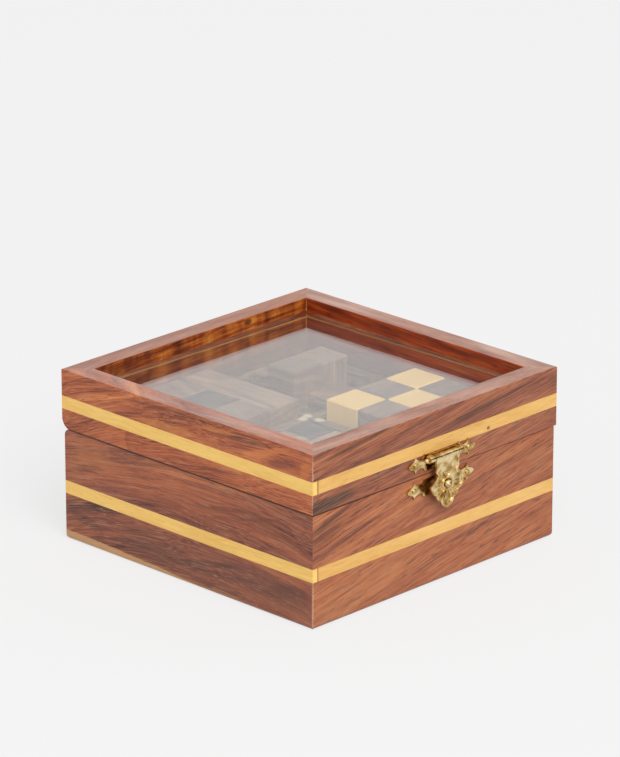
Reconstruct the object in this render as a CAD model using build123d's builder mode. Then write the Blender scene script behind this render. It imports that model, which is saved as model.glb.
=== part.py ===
from build123d import *

import math
import os

# Games compendium box: a square hardwood box with a hinged, glazed lid, inlaid stripes, a brass
# hasp clasp, two butt hinges and four wooden puzzles that stand in a cross of dividers.
# Millimetres. Origin: centre of the underside. +Z up, -Y is the clasp side, +Y is the hinge side.

# ---- box ----
side = 150.0                 # outside of the lid, corner to corner along one face
base_inset = 0.7             # the base stands in from the lid by this much on each face
base_height = 50.9
seam_gap = 0.2               # between base and closed lid
lid_height = 26.9
wall = 10.0                  # board thickness at the rims
edge_round = 0.5             # softened long edges of the boards
foot_round = 2.0             # underside edge of the base
base_back_round = 3.0        # the two back edges at the seam, which let the lid swing past upright
lid_back_round = 5.0

floor_thickness = 6.5
floor_rabbet = 3.0           # how far the floor panel reaches under the boards
floor_clearance = 0.1

stripe_height = 5.9
stripe_depth = 3.0
lower_stripe_z = 21.2        # underside of the stripe round the base
upper_stripe_rise = 9.0      # lid's lower edge up to the underside of its stripe

# ---- glazing ----
glass_thickness = 2.0
glass_drop = 7.2             # rim down to the top of the glass
glass_clearance = 0.1        # round the edge of the glass in its groove
groove_depth = 2.5           # how far the glass reaches into the boards
bead_height = 0.9            # fine bead along the wall, on the glass
bead_width = 0.8

# ---- dividers ----
divider_thickness = 5.0
divider_rise = 3.1           # divider top above the base's rim
divider_end_gap = 1.0        # its ends above the rim stand this far inside the walls
divider_top_gap = 0.4        # its housed ends stop this far below the rim
housing_depth = 1.5          # groove in the wall that takes the divider's end
lap_clearance = 0.1

# ---- puzzles ----
divider_play = 0.2           # loose puzzles lean this close to a divider
wall_play = 1.3              # and keep this far inside the walls
bay_play = 5.5               # left across a bay, so that a cube lifts out
glass_play = 6.0             # puzzle tops below the glass
cube_fit = 0.3               # play between neighbouring pieces
cube_ease = 0.6              # chamfer on every edge of a cube
string_hole = 1.5            # radius of the hole through the snake's cubes
string_radius = 0.8
burr_share = 0.1515          # half the width of a burr bar over its length
burr_fit = 0.15
burr_ease = 0.6

# ---- butt hinges ----
hinge_share = 0.6            # distance between the middles of the two hinges over the side
hinge_length = 25.0
hinge_axis_inset = 1.5       # pin axis in from the lid's back face
leaf_width = 7.5             # from the pin axis to the edge of the leaf
leaf_thickness = 0.9
knuckle_radius = 1.7
hinge_pin_radius = 0.8
knuckles = 5
running_gap = 0.2            # between faces that turn past each other
pin_clearance = 0.05
screw_spacing = 13.0
screw_shank_radius = 0.8
screw_length = 7.0
screw_slot_width = 0.4
screw_slot_depth = 0.35
screw_edge = 2.6             # screw centre in from the leaf's edge

# ---- hasp clasp ----
clasp_x = 2.0                # the clasp sits a little to the right of the middle
hasp_rise = 5.9              # lid's lower edge up to the middle of the upper plate
catch_drop = 5.5             # base's rim down to the middle of the lower plate
clasp_plate = 0.9            # brass thickness
plate_half_span = 20.5       # middle to the outer tip
plate_half_height = 3.7
shoulder_reach = 3.7         # shoulder of a plate out past the flap's edge
shoulder_slope = 2.2
spur_x = 16.3                # the upper and lower points of each flower end
notch_reach = 1.3            # dip between a spur and the tip, out past the spur
notch_share = 0.45           # its height over the plate's
waist_x = 13.2
waist_half_height = 1.9
knuckle_length = 3.0         # each of the upper plate's two knuckles
hasp_knuckle_radius = 1.55
hasp_pin_radius = 0.6
hasp_ball_radius = 1.1       # ball on each end of the knuckle pin
hasp_axis_rise = 1.3         # knuckle axis above the middle of the upper plate
flap_half_width = 7.0        # straight part below the knuckle
flap_leaf_half_width = 10.2
flap_length = 23.4           # knuckle axis to the pointed tip
flap_relief = 0.3            # depth of the pressed ground inside the raised border
flap_border = 0.8
knob_drop = 12.6             # knuckle axis down to the knob
knob_radius = 1.9
knob_clearance = 0.45
knob_stem_radius = 1.2
knob_tail = 5.0              # how far the knob's rivet reaches into the wood
nail_head_radius = 1.15
nail_shank_radius = 0.45
nail_head_height = 0.7
nail_head_round = 0.56
nail_length = 6.0            # from the wood's face to the hidden end
shank_clearance = 0.02

# ---- places that follow ----
lid_outer = side / 2
base_outer = lid_outer - base_inset
lid_bottom = base_height + seam_gap
lid_top = lid_bottom + lid_height
rim_inner = lid_outer - wall
base_inner = base_outer - wall
glass_top = lid_top - glass_drop
glass_under = glass_top - glass_thickness
glass_edge = rim_inner + groove_depth - glass_clearance
upper_stripe_z = lid_bottom + upper_stripe_rise
hasp_z = lid_bottom + hasp_rise
catch_z = base_height - catch_drop
hinge_y = lid_outer - hinge_axis_inset
hinge_z = base_height + seam_gap / 2
divider_top = base_height + divider_rise
hasp_axis_z = hasp_z + hasp_axis_rise
hasp_axis_y = -lid_outer - clasp_plate - running_gap - hasp_knuckle_radius
knob_z = hasp_axis_z - knob_drop
reach = 2 * side             # longer than anything it cuts
hinge_centres = (-hinge_share * side / 2, hinge_share * side / 2)
screw_y = hinge_y - leaf_width + screw_edge
screw_head_radius = screw_shank_radius + leaf_thickness    # a 90 degree countersink
bay_room = base_inner - divider_thickness / 2 - divider_play - bay_play
height_room = glass_under - glass_play - floor_thickness
cube_size = min(bay_room, height_room)                     # the puzzles fit their bays both ways
cube_unit = cube_size / 3
flat_cube_size = divider_top - floor_thickness             # level with the dividers
burr_length = cube_size
burr_unit = burr_share * burr_length

side_angles = {"front": -90, "right": 0, "back": 90, "left": 180}
mitre = 45                   # degrees

os.makedirs("parts", exist_ok=True)


def save(piece, node):
    """Labels a finished piece and writes it as its own STEP file."""
    piece.part.label = node
    export_step(piece.part, f"parts/{node}.step")


def across(angle):
    """Plane that looks along one wall: x points out of the wall, y up, z along it."""
    a = math.radians(angle)
    out = (math.cos(a), math.sin(a), 0)
    return Plane(origin=(0, 0, 0), x_dir=out, z_dir=(math.sin(a), -math.cos(a), 0))


def mitre_sector(angle, size=reach):
    """Plan triangle between two corners of the box, the share of one mitred board."""
    with BuildSketch(Plane.XY) as sector:
        corners = [(size * math.cos(math.radians(angle + d)), size * math.sin(math.radians(angle + d)))
                   for d in (-mitre, mitre)]
        with BuildLine():
            Polyline((0, 0), *corners, (0, 0))
        make_face()
    return sector.sketch


def rounded_profile(points, rounds):
    """Closed profile with chosen corners rounded: rounds is a list of (corner, radius)."""
    with BuildSketch() as profile:
        with BuildLine():
            Polyline(*points, points[0])
        make_face()
        for corner, radius in rounds:
            fillet(profile.vertices().sort_by_distance((*corner, 0))[0], radius=radius)
    return profile.sketch


# ---- mitred boards ----
def board(side_name, profile, stripe_z, outer, cuts):
    """One mitred board from its section, with the groove for its inlaid stripe and its cuts."""
    angle = side_angles[side_name]
    sector = mitre_sector(angle)
    with BuildPart() as piece:
        with BuildSketch(across(angle)):
            add(profile)
        extrude(amount=lid_outer, both=True)
        with BuildSketch(across(angle)):
            with Locations((outer, stripe_z)):
                Rectangle(2 * stripe_depth, stripe_height, align=(Align.CENTER, Align.MIN))
        extrude(amount=reach, both=True, mode=Mode.SUBTRACT)
        extrude(sector, amount=lid_top, dir=(0, 0, 1), mode=Mode.INTERSECT)
        for cut in cuts:
            add(cut, mode=Mode.SUBTRACT)
    return piece


def base_board(side_name):
    back = side_name == "back"
    profile = rounded_profile(
        [(base_inner + floor_rabbet, 0), (base_outer, 0), (base_outer, base_height),
         (base_inner, base_height), (base_inner, floor_thickness),
         (base_inner + floor_rabbet, floor_thickness)],
        [((base_outer, 0), foot_round),
         ((base_outer, base_height), base_back_round if back else edge_round),
         ((base_inner, base_height), edge_round)])
    cuts = [divider_housing(side_name)]
    if back:
        cuts += hinge_seats(base_height - leaf_thickness, base_height, -1)
    else:
        cuts.append(back_easing(base_outer, base_height, base_back_round, -1))
    if side_name == "front":
        cuts += [nail_holes(-base_outer, catch_z), rivet_hole()]
    return board(side_name, profile, lower_stripe_z, base_outer, cuts)


def lid_board(side_name):
    back = side_name == "back"
    groove_foot = glass_under - glass_clearance
    groove_head = glass_top + glass_clearance
    profile = rounded_profile(
        [(rim_inner, lid_bottom), (lid_outer, lid_bottom), (lid_outer, lid_top),
         (rim_inner, lid_top), (rim_inner, groove_head), (rim_inner + groove_depth, groove_head),
         (rim_inner + groove_depth, groove_foot), (rim_inner, groove_foot)],
        [((lid_outer, lid_bottom), lid_back_round if back else edge_round),
         ((lid_outer, lid_top), edge_round), ((rim_inner, lid_top), edge_round)])
    cuts = []
    if back:
        cuts += hinge_seats(lid_bottom, lid_bottom, 1)
    else:
        cuts.append(back_easing(lid_outer, lid_bottom, lid_back_round, 1))
    if side_name == "front":
        cuts.append(nail_holes(-lid_outer, hasp_z))
    return board(side_name, profile, upper_stripe_z, lid_outer, cuts)


def back_easing(outer, seam, radius, up):
    """What the rounded back edge at the seam takes off the mitred ends of the side boards."""
    with BuildPart() as easing:
        with BuildSketch(across(side_angles["back"])):
            with Locations((outer, seam)):
                Rectangle(2 * radius, 2 * radius)
            with Locations((outer - radius, seam + up * radius)):
                Circle(radius, mode=Mode.SUBTRACT)
        extrude(amount=reach, both=True)
    return easing.part


def divider_housing(side_name):
    """Groove in a base board that takes the end of a divider."""
    with BuildPart() as groove:
        with BuildSketch(across(side_angles[side_name]).offset(-divider_thickness / 2 - lap_clearance)):
            with Locations((base_inner, floor_thickness)):
                Rectangle(2 * housing_depth, base_height, align=(Align.CENTER, Align.MIN))
        extrude(amount=divider_thickness + 2 * lap_clearance)
    return groove.part


def hinge_seats(leaf_bottom, face_z, up):
    """Mortise, barrel groove and screw holes for each hinge, in the base's or the lid's rim."""
    seats = []
    for x in hinge_centres:
        with BuildPart() as seat:
            with BuildSketch(Plane((x, hinge_y, leaf_bottom))):
                Rectangle(hinge_length, leaf_width, align=(Align.CENTER, Align.MAX))
            extrude(amount=leaf_thickness)
            with BuildSketch(Plane((x, hinge_y, hinge_z), x_dir=(0, 1, 0), z_dir=(1, 0, 0))):
                Circle(knuckle_radius + running_gap)
            extrude(amount=hinge_length / 2 + running_gap, both=True)
            with BuildSketch(Plane((x, screw_y, face_z), z_dir=(0, 0, up))):
                with GridLocations(screw_spacing, 0, 2, 1):
                    Circle(screw_shank_radius + shank_clearance)
            extrude(amount=screw_length + shank_clearance)
        seats.append(seat.part)
    return seats


def into_front(face_y, z):
    """Plane on the clasp side that looks into the wood, so that an extrusion goes inward."""
    return Plane((clasp_x, face_y, z), x_dir=(1, 0, 0), z_dir=(0, 1, 0))


def nail_holes(face_y, z):
    with BuildPart() as holes:
        with BuildSketch(into_front(face_y, z)):
            with GridLocations(2 * spur_x, 0, 2, 1):
                Circle(nail_shank_radius + shank_clearance)
        extrude(amount=nail_length + shank_clearance)
    return holes.part


def rivet_hole():
    with BuildPart() as hole:
        with BuildSketch(into_front(-base_outer, knob_z)):
            Circle(knob_stem_radius + shank_clearance)
        extrude(amount=knob_tail)
    return hole.part


for side_name in side_angles:
    save(base_board(side_name), f"base_{side_name}_board")
    save(lid_board(side_name), f"lid_{side_name}_board")


# ---- inlaid stripes: each runs full at one corner and butts against the next strip ----
def stripe(side_name, outer, z):
    with BuildPart() as piece:
        with BuildSketch(across(side_angles[side_name]).offset(-outer)):
            with Locations((outer, z)):
                Rectangle(stripe_depth, stripe_height, align=(Align.MAX, Align.MIN))
        extrude(amount=2 * outer - stripe_depth)
    return piece


for side_name in side_angles:
    save(stripe(side_name, base_outer, lower_stripe_z), f"base_{side_name}_stripe")
    save(stripe(side_name, lid_outer, upper_stripe_z), f"lid_{side_name}_stripe")


# ---- glass and glazing beads ----
with BuildPart() as glass:
    with BuildSketch(Plane.XY.offset(glass_under)):
        Rectangle(2 * glass_edge, 2 * glass_edge)
    extrude(amount=glass_thickness)
save(glass, "glass_pane")


def bead(side_name):
    """Fine triangular bead that closes the groove above the glass."""
    angle = side_angles[side_name]
    sector = mitre_sector(angle)
    with BuildPart() as piece:
        with BuildSketch(across(angle)):
            with BuildLine():
                Polyline((rim_inner, glass_top), (rim_inner, glass_top + bead_height),
                         (rim_inner - bead_width, glass_top), (rim_inner, glass_top))
            make_face()
        extrude(amount=rim_inner, both=True)
        extrude(sector, amount=lid_top, dir=(0, 0, 1), mode=Mode.INTERSECT)
    return piece


for side_name in side_angles:
    save(bead(side_name), f"{side_name}_glazing_bead")


# ---- floor and dividers ----
with BuildPart() as floor_panel:
    with BuildSketch(Plane.XY):
        floor_size = 2 * (base_inner + floor_rabbet - floor_clearance)
        Rectangle(floor_size, floor_size)
    extrude(amount=floor_thickness)
save(floor_panel, "floor_panel")


def divider(plane, lap_from_top):
    """A board across the base with a half-lap slot at its middle, its ends cut back above the rim."""
    housed_length = 2 * (base_inner + housing_depth - lap_clearance)
    housed_height = base_height - divider_top_gap - floor_thickness
    free_length = 2 * (base_inner - divider_end_gap)
    height = divider_top - floor_thickness
    slot = divider_thickness + 2 * lap_clearance
    with BuildPart() as piece:
        with BuildSketch(plane):
            with Locations((0, floor_thickness)):
                Rectangle(housed_length, housed_height, align=(Align.CENTER, Align.MIN))
                Rectangle(free_length, height, align=(Align.CENTER, Align.MIN))
            with Locations((0, divider_top if lap_from_top else floor_thickness)):
                Rectangle(slot, height + 2 * lap_clearance, align=(Align.CENTER, Align.CENTER),
                          mode=Mode.SUBTRACT)
        extrude(amount=divider_thickness / 2, both=True)
    return piece


save(divider(Plane.XZ, True), "long_divider")
save(divider(Plane.YZ, False), "cross_divider")


# ---- puzzles ----
beside = divider_thickness / 2 + divider_play        # a puzzle's face next to a divider
near = beside + cube_size / 2
flat_near = beside + flat_cube_size / 2
far = base_inner - wall_play - cube_size / 2
middle = (near + far) / 2

# Each cube is laid out as three layers from the floor up, each with its back row first.
box_cube_layers = ("ppt ptt zzt", "paa vba vzz", "bal bbl vll")
flat_cube_layers = ("eeg fec eec", "ggg ffc ddb", "ggg fff ddb")
box_cube_names = {"v": "corner_three", "l": "hook_four", "t": "tee_four", "z": "zigzag_four",
                  "a": "left_twist_four", "b": "right_twist_four", "p": "tripod_four"}
flat_cube_names = {"b": "flat_two", "c": "flat_three", "d": "flat_four", "e": "flat_five",
                   "f": "flat_six", "g": "flat_seven"}


def read_cells(layers):
    """Letter of each piece to the cells that it fills, from the layer maps."""
    cells = {}
    for k, layer in enumerate(layers):
        for row_number, row in enumerate(layer.split()):
            for i, letter in enumerate(row):
                cells.setdefault(letter, []).append((i, 2 - row_number, k))
    return cells


def cell_centre(cell, centre, unit=cube_unit):
    return Vector(centre[0] + (cell[0] - 1) * unit, centre[1] + (cell[1] - 1) * unit,
                  floor_thickness + (cell[2] + 0.5) * unit - cube_fit / 2)


def eased_block(size, ease):
    """A block with every edge chamfered."""
    with BuildPart() as block:
        Box(*size)
        chamfer(block.edges(), length=ease)
    return block.part


def whole_blocks(cells):
    """Largest boxes of cells inside a piece, as (lowest cell, highest cell)."""
    def filled(lo, hi):
        ranges = [range(l, h + 1) for l, h in zip(lo, hi)]
        return {(i, j, k) for i in ranges[0] for j in ranges[1] for k in ranges[2]}

    found = [(lo, hi) for lo in cells for hi in cells
             if all(l <= h for l, h in zip(lo, hi)) and filled(lo, hi) <= set(cells)]
    return [b for b in found if not any(filled(*b) < filled(*other) for other in found)]


def polycube(cells, centre, unit):
    """Cubes glued face to face into one puzzle piece."""
    blocks = []
    for lo, hi in whole_blocks(cells):
        size = [(h - l + 1) * unit - cube_fit for l, h in zip(lo, hi)]
        place = (cell_centre(lo, centre, unit) + cell_centre(hi, centre, unit)) / 2
        blocks.append((place, eased_block(size, cube_ease)))
    with BuildPart() as piece:
        for place, block in blocks:
            with Locations(place):
                add(block)
    return piece


for layers, names, centre, unit in (
        (box_cube_layers, box_cube_names, (-near, near), cube_unit),
        (flat_cube_layers, flat_cube_names, (-flat_near, -flat_near), flat_cube_size / 3)):
    for letter, cells in read_cells(layers).items():
        save(polycube(cells, centre, unit), f"{names[letter]}_piece")


# Snake cube: twenty-seven cubes on one elastic cord, folded into a block. The moves run from cube to
# cube: E and W along X, N and S along Y, U and D along Z.
snake_start = (0, 0, 0)
snake_moves = "EENWUUNDDEUSSWWNDNUUSSEENN"
move_steps = {"E": (1, 0, 0), "W": (-1, 0, 0), "N": (0, 1, 0), "S": (0, -1, 0),
              "U": (0, 0, 1), "D": (0, 0, -1)}
snake_centre = (middle, -middle)
snake_path = [snake_start]
for move in snake_moves:
    snake_path.append(tuple(c + s for c, s in zip(snake_path[-1], move_steps[move])))


def bored_cube(index):
    """One snake cube, bored from its middle towards each cube that it is strung to."""
    cell = snake_path[index]
    strung_to = [snake_path[i] for i in (index - 1, index + 1) if 0 <= i < len(snake_path)]
    edge = cube_unit - cube_fit
    block = eased_block((edge, edge, edge), cube_ease)
    here = cell_centre(cell, snake_centre)
    with BuildPart() as cube:
        with Locations(here):
            add(block)
        for other in strung_to:
            step = tuple(o - c for o, c in zip(other, cell))
            with BuildSketch(Plane(origin=here - Vector(*step) * string_hole, z_dir=step)):
                Circle(string_hole)
            extrude(amount=cube_unit, mode=Mode.SUBTRACT)
    return cube.part


for shade, first in (("pale", 0), ("dark", 1)):
    cubes = [bored_cube(i) for i in range(first, len(snake_path), 2)]
    with BuildPart() as snake_cubes:
        for cube in cubes:
            add(cube)
    save(snake_cubes, f"{shade}_snake_cubes")

string_points = [snake_path[0]]
for before, here, after in zip(snake_path, snake_path[1:], snake_path[2:]):
    if [h - b for h, b in zip(here, before)] != [a - h for a, h in zip(after, here)]:
        string_points.append(here)
string_points.append(snake_path[-1])
with BuildPart() as snake_cord:
    with BuildLine():
        string_line = Polyline(*[cell_centre(cell, snake_centre) for cell in string_points])
    with BuildSketch(Plane(origin=string_line @ 0, z_dir=string_line % 0)):
        Circle(string_radius)
    sweep(path=string_line, transition=Transition.RIGHT)
save(snake_cord, "snake_elastic")


# Six-piece burr: three crossed pairs of bars. Each notch is (low corner, high corner) in half bar
# widths from the middle of the puzzle. The key bar has no notch and slides out first.
burr_centre = Vector(far, far, floor_thickness + burr_length / 2)
upright_notches = [((0, -1, -2), (1, 1, 2)), ((1, 0, -1), (2, 1, 1))]
burr_bars = {
    "upright_burr_right": ("z", (1, 0), upright_notches),
    "upright_burr_left": ("z", (-1, 0), [((-hi[0], lo[1], lo[2]), (-lo[0], hi[1], hi[2]))
                                         for lo, hi in upright_notches]),
    "level_burr_front": ("x", (-1, 0), [((-2, -1, -1), (2, 0, 1)), ((-1, -2, -1), (1, -1, 0))]),
    "level_burr_key": ("x", (1, 0), []),
    "cross_burr_lower": ("y", (0, -1), [((-1, 0, -1), (1, 2, 0))]),
    "cross_burr_upper": ("y", (0, 1), [((-1, -2, 0), (1, -1, 1)), ((-1, 0, 0), (1, 2, 1))]),
}


def burr_bar(run, shift, notches):
    """A square bar along one axis, beside its pair, with its notches cut."""
    width = 2 * burr_unit - burr_fit
    size = {"x": (burr_length, width, width), "y": (width, burr_length, width),
            "z": (width, width, burr_length)}[run]
    offset = {"x": (0, shift[0], 0), "y": (0, 0, shift[1]), "z": (shift[0], 0, 0)}[run]
    block = eased_block(size, burr_ease)
    with BuildPart() as bar:
        with Locations(burr_centre + Vector(*offset) * burr_unit):
            add(block)
        for lo, hi in notches:
            place = (Vector(*lo) + Vector(*hi)) / 2 * burr_unit
            notch = [(h - l) * burr_unit + burr_fit for l, h in zip(lo, hi)]
            with Locations(burr_centre + place):
                Box(*notch, mode=Mode.SUBTRACT)
    return bar


for node, (run, shift, notches) in burr_bars.items():
    save(burr_bar(run, shift, notches), node)


# ---- butt hinges ----
knuckle_pitch = hinge_length / knuckles


def knuckle_middles(x, lid_side):
    """Middles of the knuckles of one leaf: the base's leaf has the odd ones, ends included."""
    first = x - hinge_length / 2 + knuckle_pitch / 2
    return [first + i * knuckle_pitch for i in range(knuckles) if (i % 2 == 1) == lid_side]


def pin_plane(x):
    return Plane((x, hinge_y, hinge_z), x_dir=(0, 1, 0), z_dir=(1, 0, 0))


def hinge_leaf(x, lid_side):
    """Leaf let into the rim, with its rolled knuckles and countersunk screw holes."""
    bottom = lid_bottom if lid_side else base_height - leaf_thickness
    seam_face = lid_bottom if lid_side else base_height
    length = knuckle_pitch - running_gap
    with BuildPart() as leaf:
        with BuildSketch(Plane((x, hinge_y, bottom))):
            Rectangle(hinge_length, leaf_width, align=(Align.CENTER, Align.MAX))
        extrude(amount=leaf_thickness)
        with BuildSketch(pin_plane(x)):
            Circle(knuckle_radius + running_gap)
        extrude(amount=hinge_length, both=True, mode=Mode.SUBTRACT)
        for middle_x in knuckle_middles(x, lid_side):
            with BuildSketch(Plane((middle_x, hinge_y, bottom))):
                Rectangle(length, knuckle_radius + 2 * running_gap, align=(Align.CENTER, Align.MAX))
            extrude(amount=leaf_thickness)
            with BuildSketch(pin_plane(middle_x)):
                Circle(knuckle_radius)
            extrude(amount=length / 2, both=True)
        with BuildSketch(pin_plane(x)):
            Circle(hinge_pin_radius + pin_clearance)
        extrude(amount=hinge_length, both=True, mode=Mode.SUBTRACT)
        with Locations(Plane((x, screw_y, seam_face), z_dir=(0, 0, -1 if lid_side else 1))):
            with GridLocations(screw_spacing, 0, 2, 1):
                CounterSinkHole(screw_shank_radius + shank_clearance,
                                screw_head_radius + shank_clearance, counter_sink_angle=90)
    return leaf


for side_word, x in zip(("left", "right"), hinge_centres):
    save(hinge_leaf(x, True), f"{side_word}_hinge_lid_leaf")
    save(hinge_leaf(x, False), f"{side_word}_hinge_base_leaf")

with BuildPart() as hinge_pins:
    for x in hinge_centres:
        with BuildSketch(pin_plane(x)):
            Circle(hinge_pin_radius)
        extrude(amount=hinge_length / 2, both=True)
save(hinge_pins, "hinge_pins")


def screw(x, lid_side):
    """Countersunk screw with a slot, its head flush with the leaf."""
    up = 1 if lid_side else -1
    seam_face = lid_bottom if lid_side else base_height
    cone = screw_head_radius - screw_shank_radius
    with BuildPart() as piece:
        with BuildSketch(Plane((x, screw_y, seam_face), x_dir=(1, 0, 0), z_dir=(0, -up, 0))):
            with BuildLine():
                Polyline((0, 0), (screw_head_radius, 0), (screw_shank_radius, cone),
                         (screw_shank_radius, screw_length - screw_shank_radius),
                         (0, screw_length), (0, 0))
            make_face()
        revolve(axis=Axis((x, screw_y, seam_face), (0, 0, 1)))
        with BuildSketch(Plane((x, screw_y, seam_face), z_dir=(0, 0, up))):
            Rectangle(2 * screw_head_radius, screw_slot_width)
        extrude(amount=screw_slot_depth, mode=Mode.SUBTRACT)
    return piece.part


for word, lid_side in (("lid", True), ("base", False)):
    screws = [screw(x + dx, lid_side) for x in hinge_centres
              for dx in (-screw_spacing / 2, screw_spacing / 2)]
    with BuildPart() as hinge_screws:
        for one in screws:
            add(one)
    save(hinge_screws, f"{word}_hinge_screws")


# ---- hasp clasp ----
def facing_front(y, z):
    """Plane on the clasp side that looks out of the box, so that an extrusion stands proud."""
    return Plane((clasp_x, y, z), x_dir=(1, 0, 0), z_dir=(0, -1, 0))


def flower_outline(half_top):
    """Quarter of a clasp plate: a straight middle, a waist and a pointed three-lobed end."""
    shoulder = (flap_half_width + shoulder_reach, plate_half_height)
    waist = (waist_x, waist_half_height)
    spur = (spur_x, plate_half_height)
    notch = (spur_x + notch_reach, plate_half_height * notch_share)
    tip = (plate_half_span, 0)
    with BuildSketch() as quarter:
        with BuildLine():
            Line((0, 0), (0, half_top))
            Line((0, half_top), (shoulder[0] - shoulder_slope, half_top))
            Line((shoulder[0] - shoulder_slope, half_top), shoulder)
            Spline(shoulder, waist, tangents=((0.2, -1), (1, 0.1)))
            Spline(waist, spur, tangents=((1, 0.1), (0.3, 1)))
            Spline(spur, notch, tangents=((0.1, -1), (1, -0.6)))
            Spline(notch, tip, tangents=((1, -0.1), (0.7, -1)))
            Line(tip, (0, 0))
        make_face()
    return quarter.sketch


def clasp_plate_sketch(top):
    quarter = flower_outline(top)
    lower = flower_outline(plate_half_height)
    with BuildSketch() as outline:
        add(quarter)
        add(mirror(lower, about=Plane.XZ, mode=Mode.PRIVATE))
        mirror(about=Plane.YZ)
    return outline.sketch


hasp_rows = (-(flap_half_width + running_gap + knuckle_length / 2),
             flap_half_width + running_gap + knuckle_length / 2)


def barrel_plane(dx):
    return Plane((clasp_x + dx, hasp_axis_y, hasp_axis_z), x_dir=(0, -1, 0), z_dir=(1, 0, 0))


strap_top = hasp_axis_rise + hasp_knuckle_radius
upper_outline = clasp_plate_sketch(strap_top)
lower_outline = clasp_plate_sketch(plate_half_height)

with BuildPart() as hasp_plate:
    with BuildSketch(facing_front(-lid_outer, hasp_z)):
        add(upper_outline)
    extrude(amount=clasp_plate)
    for dx in hasp_rows:
        strap = Plane((clasp_x + dx, -lid_outer, hasp_z + strap_top), x_dir=(1, 0, 0),
                      z_dir=(0, -1, 0))
        with BuildSketch(strap):
            Rectangle(knuckle_length, clasp_plate, align=(Align.CENTER, Align.MAX))
        extrude(amount=-hasp_axis_y - lid_outer)
        with BuildSketch(barrel_plane(dx)):
            Circle(hasp_knuckle_radius)
        extrude(amount=knuckle_length / 2, both=True)
    with BuildSketch(barrel_plane(0)):
        Circle(hasp_pin_radius + pin_clearance)
    extrude(amount=reach, both=True, mode=Mode.SUBTRACT)
    with BuildSketch(facing_front(-lid_outer, hasp_z)):
        with GridLocations(2 * spur_x, 0, 2, 1):
            Circle(nail_shank_radius + shank_clearance)
    extrude(amount=clasp_plate, mode=Mode.SUBTRACT)
save(hasp_plate, "hasp_plate")

with BuildPart() as catch_plate:
    with BuildSketch(facing_front(-base_outer, catch_z)):
        add(lower_outline)
        with GridLocations(2 * spur_x, 0, 2, 1):
            Circle(nail_shank_radius + shank_clearance, mode=Mode.SUBTRACT)
        with Locations((0, knob_z - catch_z)):
            Circle(knob_stem_radius + shank_clearance, mode=Mode.SUBTRACT)
    extrude(amount=clasp_plate)
save(catch_plate, "catch_plate")


def nails(face_y, z):
    """Two round-headed pins driven through the flower ends of a plate."""
    with BuildPart() as pair:
        with BuildSketch(facing_front(face_y + nail_length, z)):
            with GridLocations(2 * spur_x, 0, 2, 1):
                Circle(nail_shank_radius)
        extrude(amount=nail_length + clasp_plate)
        with BuildSketch(facing_front(face_y - clasp_plate, z)):
            with GridLocations(2 * spur_x, 0, 2, 1):
                Circle(nail_head_radius)
        extrude(amount=nail_head_height)
        fillet(pair.edges().group_by(Axis.Y)[0], radius=nail_head_round)
    return pair


save(nails(-lid_outer, hasp_z), "hasp_nails")
save(nails(-base_outer, catch_z), "catch_nails")

knob_y = hasp_axis_y - hasp_knuckle_radius
with BuildPart() as catch_knob:
    with BuildSketch(facing_front(-base_outer + knob_tail, knob_z)):
        Circle(knob_stem_radius)
    extrude(amount=knob_tail - knob_y - base_outer)
    with Locations((clasp_x, knob_y, knob_z)):
        Sphere(knob_radius)
save(catch_knob, "catch_knob")

with BuildPart() as hasp_pin:
    pin_half = flap_half_width + running_gap + knuckle_length
    with BuildSketch(barrel_plane(0)):
        Circle(hasp_pin_radius)
    extrude(amount=pin_half + hasp_ball_radius, both=True)
    for end in (-1, 1):
        ball_x = clasp_x + end * (pin_half + hasp_ball_radius)
        with Locations((ball_x, hasp_axis_y, hasp_axis_z)):
            Sphere(hasp_ball_radius)
save(hasp_pin, "hasp_pin")


# The flap is a pressed leaf that hangs from its rolled top edge. Points are down from the knuckle
# axis; the lower edge is scalloped in to the pointed tip.
straight_drop = 5.6
neck_pinch = 1.3             # the neck is narrower than the straight part by this on each side
neck_drop = 8.0
leaf_drop = 11.8
foot_drop = leaf_drop + 1.5
foot_taper = 0.3
tip_half_width = 1.1
scallops = 3
scallop_depth = 0.5
emblem_drop = 7.0            # down to the top edge of the raised triangle
emblem_width = 5.2
emblem_line = 0.55
rib_width = 0.4              # the ribs fan out from the ring round the knob
rib_length = 4.4
rib_distance = 5.2           # from the knob to the middle of a rib
rib_leans = (16, 34, 52, 70, 88)     # degrees either side of straight down
ground_drop = 2.5            # knuckle axis down to the top of the pressed ground

# How far the ground's corners stand in from the outline's, across and up, in border widths
corner_inset = (1.6, 0.2)
foot_inset = (1.0, 0.2)
tip_inset = (0.6, 1.7)


def flap_half(inset, top):
    """Right half of the flap's outline, or of the ground inside its raised border."""
    def stood_in(across_by, drop, shares):
        return (across_by - shares[0] * inset, -drop + shares[1] * inset)

    straight = (flap_half_width - inset, -straight_drop)
    neck = (flap_half_width - neck_pinch - inset, -neck_drop)
    corner = stood_in(flap_leaf_half_width, leaf_drop, corner_inset)
    foot = stood_in(flap_leaf_half_width - foot_taper, foot_drop, foot_inset)
    tip = stood_in(tip_half_width, flap_length - tip_half_width / 2, tip_inset)
    end = (0, -flap_length + tip_inset[1] * inset)
    with BuildSketch() as half:
        with BuildLine():
            Polyline((0, end[1]), (0, top), (flap_half_width - inset, top), straight)
            Spline(straight, neck, tangents=((0.1, -1), (-0.4, -1)))
            Polyline(neck, corner, foot)
            start = Vector(*foot)
            for i in range(scallops):
                stop = start + (Vector(*tip) - start) / (scallops - i)
                bulge = (start + stop) / 2 + Vector(scallop_depth, -scallop_depth)
                ThreePointArc(start, bulge, stop)
                start = stop
            Line(start, end)
        make_face()
    return half.sketch


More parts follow.
